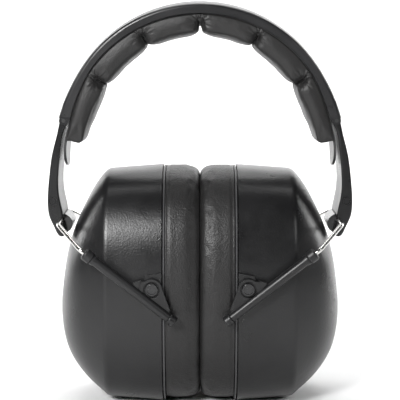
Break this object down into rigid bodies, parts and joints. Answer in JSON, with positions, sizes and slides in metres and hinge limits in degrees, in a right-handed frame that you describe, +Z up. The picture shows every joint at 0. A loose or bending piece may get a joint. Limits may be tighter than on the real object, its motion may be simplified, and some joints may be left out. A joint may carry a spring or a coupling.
{
  "type": "earmuff hearing protector",
  "caption": "Padded arched headband with spreading side arms, steel wire yokes in guide tubes, and deep oval ear cups with ring cushions.",
  "frame": {"origin": "middle plane, at the flat bottoms of the two cups, centred front to back", "axes": "+X to the cup on the viewer's right, +Y from front to back, +Z up to the headband's crown"},
  "size_m": [0.143, 0.0958, 0.1886],
  "materials": {
    "shell_plastic": "satin black moulded plastic",
    "arm_plastic": "semi-gloss black moulded plastic",
    "clip_plastic": "glossy black plastic",
    "guide_plastic": "glossy black plastic",
    "button_plastic": "glossy black plastic",
    "cup_plastic": "satin black, fine spark texture",
    "plate_plastic": "satin dark grey plastic",
    "liner_plastic": "satin dark grey plastic",
    "pad_leatherette": "black leatherette with fine grain",
    "cushion_leatherette": "black leatherette with fine grain",
    "foam": "dark grey open foam",
    "dark_steel": "blackened steel",
    "steel": "bright drawn steel"
  },
  "bodies": {
    "headband": {"headband_shell": "shell_plastic", "headband_liner": "liner_plastic", "headband_pad": "pad_leatherette", "left_arm_pin": "dark_steel", "right_arm_pin": "dark_steel"},
    "left_arm": {"left_arm": "arm_plastic", "left_yoke_clip": "clip_plastic"},
    "left_yoke": {"left_wire_yoke": "steel"},
    "left_guides": {"left_front_guide": "guide_plastic", "left_rear_guide": "guide_plastic", "left_guide_grommets": "guide_plastic", "left_guide_end_plugs": "guide_plastic"},
    "left_cup": {"left_cup_shell": "cup_plastic", "left_pivot_pins": "button_plastic", "left_inner_plate": "liner_plastic", "left_absorber_foam": "foam", "left_cushion_plate": "plate_plastic", "left_ear_cushion": "cushion_leatherette", "left_ear_liner": "foam"},
    "right_arm": {"right_arm": "arm_plastic", "right_yoke_clip": "clip_plastic"},
    "right_yoke": {"right_wire_yoke": "steel"},
    "right_guides": {"right_front_guide": "guide_plastic", "right_rear_guide": "guide_plastic", "right_guide_grommets": "guide_plastic", "right_guide_end_plugs": "guide_plastic"},
    "right_cup": {"right_cup_shell": "cup_plastic", "right_pivot_pins": "button_plastic", "right_inner_plate": "liner_plastic", "right_absorber_foam": "foam", "right_cushion_plate": "plate_plastic", "right_ear_cushion": "cushion_leatherette", "right_ear_liner": "foam"}
  },
  "joints": [
    {"name": "left_arm_spread", "type": "hinge", "parent": "headband", "child": "left_arm", "pos_m": [-0.0634, 0, 0.1333], "axis": [0, 1, 0], "range_deg": [0, 35], "stiffness_Nm_per_rad": 0.9},
    {"name": "left_yoke_swing", "type": "hinge", "parent": "left_arm", "child": "left_yoke", "pos_m": [-0.0652, 0, 0.0862], "axis": [0, 1, 0], "range_deg": [0, 26]},
    {"name": "left_height_slide", "type": "slide", "parent": "left_yoke", "child": "left_guides", "axis": [0.7864, 0, -0.6177], "range_m": [0, 0.015]},
    {"name": "left_cup_tilt", "type": "hinge", "parent": "left_guides", "child": "left_cup", "pos_m": [-0.0218, 0, 0.0593], "axis": [0, 1, 0], "range_deg": [-26, 0]},
    {"name": "right_arm_spread", "type": "hinge", "parent": "headband", "child": "right_arm", "pos_m": [0.0634, 0, 0.1333], "axis": [0, -1, 0], "range_deg": [0, 35], "stiffness_Nm_per_rad": 0.9},
    {"name": "right_yoke_swing", "type": "hinge", "parent": "right_arm", "child": "right_yoke", "pos_m": [0.0652, 0, 0.0862], "axis": [0, -1, 0], "range_deg": [0, 26]},
    {"name": "right_height_slide", "type": "slide", "parent": "right_yoke", "child": "right_guides", "axis": [-0.7864, 0, -0.6177], "range_m": [0, 0.015]},
    {"name": "right_cup_tilt", "type": "hinge", "parent": "right_guides", "child": "right_cup", "pos_m": [0.0218, 0, 0.0593], "axis": [0, -1, 0], "range_deg": [-26, 0]}
  ],
  "couplings": [
    {"joint": "left_yoke_swing", "follows": "left_height_slide", "rad_per_m": 30},
    {"joint": "left_cup_tilt", "follows": "left_height_slide", "rad_per_m": -30},
    {"joint": "right_yoke_swing", "follows": "right_height_slide", "rad_per_m": 30},
    {"joint": "right_cup_tilt", "follows": "right_height_slide", "rad_per_m": -30}
  ]
}
